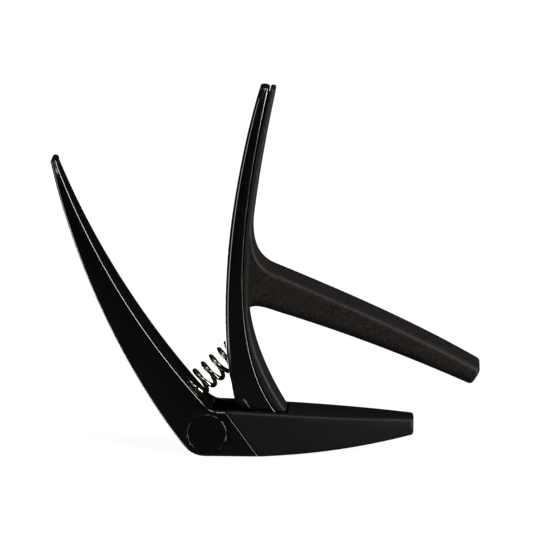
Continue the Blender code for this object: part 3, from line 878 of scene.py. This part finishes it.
def make_world():
    """White to the camera. Otherwise a dark room: a dim table in front of the object and a dim ceiling."""
    world = bpy.data.worlds.new("studio")
    bpy.context.scene.world = world
    world.use_nodes = True
    nodes = world.node_tree.nodes
    links = world.node_tree.links
    coordinates = nodes.new("ShaderNodeTexCoord")
    split = nodes.new("ShaderNodeSeparateXYZ")
    links.new(coordinates.outputs["Generated"], split.inputs["Vector"])
    height = nodes.new("ShaderNodeMapRange")
    height.inputs["From Min"].default_value = -1.0
    links.new(split.outputs["Z"], height.inputs["Value"])
    ramp_node = nodes.new("ShaderNodeValToRGB")
    links.new(height.outputs["Result"], ramp_node.inputs["Fac"])
    stops = ramp_node.color_ramp.elements
    for z, grey in ROOM_GREYS:
        stop = stops.new((z + 1) / 2)
        stop.color = (grey, grey, grey, 1)
    stops.remove(stops[0])
    stops.remove(stops[-1])
    room = ramp_node.outputs["Color"]
    path = nodes.new("ShaderNodeLightPath")
    mix = nodes.new("ShaderNodeMix")
    mix.data_type = "RGBA"
    links.new(path.outputs["Is Camera Ray"], mix.inputs["Factor"])
    links.new(room, mix.inputs["A"])
    mix.inputs["B"].default_value = (1, 1, 1, 1)
    links.new(mix.outputs["Result"], nodes["Background"].inputs["Color"])


def make_floor():
    """A pale light table that only the camera sees."""
    bm = bmesh.new()
    bmesh.ops.create_circle(bm, cap_ends=True, segments=ROUND_SEGMENTS, radius=FLOOR_RADIUS)
    mesh = bpy.data.meshes.new("floor")
    bm.to_mesh(mesh)
    bm.free()
    floor = bpy.data.objects.new("floor", mesh)
    floor.location.z = -FLOOR_DROP
    floor.visible_glossy = False
    floor.visible_diffuse = False
    floor.visible_shadow = False
    bpy.context.scene.collection.objects.link(floor)
    material, nodes, links, shader = new_material("pale_floor")
    dark = (0.12, 0.12, 0.12)
    light = (0.13, 0.13, 0.13)
    tone = noise(nodes, links, 4)
    links.new(ramp(nodes, links, tone, 0.3, 0.7, dark, light), shader.inputs["Base Color"])
    shader.inputs["Roughness"].default_value = 0.9
    shader.inputs["Specular IOR Level"].default_value = 0.0
    shader.inputs["Emission Color"].default_value = (1, 1, 1, 1)
    shader.inputs["Emission Strength"].default_value = 0.95
    wear(floor, material)


def make_camera():
    """Square on to the side, a little to the right and from 14 degrees above."""
    away = direction(CAMERA_AZIMUTH, CAMERA_ELEVATION)
    data = bpy.data.cameras.new("camera")
    data.sensor_width = 36
    data.lens = CAMERA_LENS
    data.clip_start = 0.05
    data.clip_end = 20
    camera = bpy.data.objects.new("camera", data)
    camera.location = CAMERA_TARGET + away
    camera.rotation_euler = (-away).to_track_quat("-Z", "Y").to_euler()
    bpy.context.scene.collection.objects.link(camera)
    bpy.context.scene.camera = camera


def make_lights(polished):
    """Tall soft boxes at both sides, and weaker ones above, in front and behind. The two low ones at the
    sides only draw lines along the polished pieces."""
    soft_box("right_box", 64, 8, 0.26, 0.8, 38, WARM_WHITE)
    soft_box("right_low_box", 62, -27, 0.14, 0.4, 60, WARM_WHITE, polished)
    soft_box("corner_box", 38, 45, 0.25, 0.45, 16, WARM_WHITE)
    soft_box("left_box", -63, -4, 0.2, 0.8, 11, (1.0, 0.9, 0.83))
    soft_box("left_low_box", -88, -38, 0.24, 0.7, 20, (1.0, 0.8, 0.7), polished)
    soft_box("top_box", 0, 80, 0.35, 0.35, 13)
    soft_box("front_box", -15, 25, 0.7, 0.5, 1.2)
    soft_box("back_box", 207, -22, 0.5, 0.4, 7, WARM_WHITE)


# ---------------------------------------------------------------- assembly


def show(piece, body, slot, material, *nodes):
    """Gives a piece its finish and its body, and hides the CAD nodes that it stands for."""
    wear(piece, material)
    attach(piece, body)
    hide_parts(*nodes)


def main():
    bpy.context.scene.view_settings.view_transform = "Standard"
    make_camera()
    make_world()
    make_floor()
    enamel = gloss_black("gloss_black_enamel")
    lever_soft = grained(
        "grained_sleeve", (0.0012, 0.0010, 0.0009), (0.0135, 0.0118, 0.0107), 0.52, 2600, 0.05
    )
    neck_soft = grained("smooth_sleeve", (0.0033, 0.0031, 0.0026), (0.0052, 0.005, 0.0042), 0.44, 3800, 0.01)
    pad_soft = grained("silicone", (0.006, 0.006, 0.006), (0.009, 0.009, 0.009), 0.5, 3000, 0.008)
    dark_steel = metal("black_nickel", (0.12, 0.108, 0.097), (0.2, 0.18, 0.16), 0.1)
    pin_steel = metal("ground_steel", (0.45, 0.45, 0.46), (0.6, 0.6, 0.61), 0.3)
    inlay = gloss_black("gloss_inlay")
    nylon = grained("nylon", (0.6, 0.59, 0.55), (0.72, 0.71, 0.68), 0.5, 2000, 0.004)

    frame_metal = make_frame_casting()
    show(frame_metal, BODY, "gloss_black", enamel, "frame_casting")
    show(make_neck_sleeve(), BODY, "neck_sleeve", neck_soft, "neck_jaw_sleeve")
    lever_metal = make_lever_casting()
    show(lever_metal, LEVER, "gloss_black", enamel, "lever_casting")
    show(make_lever_sleeve(), LEVER, "lever_sleeve", lever_soft, "lever_sleeve")
    show(make_string_pad(), LEVER, "pad", pad_soft, "string_pad")
    badge = make_badge()
    show(badge, BODY, "badge", inlay, "badge_disc")

    spring = make_spring()
    wear(spring, dark_steel)
    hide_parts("spring")
    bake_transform(spring)

    polished = bpy.data.collections.new("polished")
    for piece in (frame_metal, lever_metal, badge, spring):
        polished.objects.link(piece)
    make_lights(polished)

    nodes = frame["nodes"]
    wear(nodes["spring_cup_frame"], dark_steel)
    wear(nodes["spring_washer_lever"], dark_steel)
    wear(nodes["hinge_pin"], pin_steel)
    wear(nodes["hinge_bush_near"], nylon)
    wear(nodes["hinge_bush_far"], nylon)
    wear(nodes["stop_pad"], pad_soft)


main()
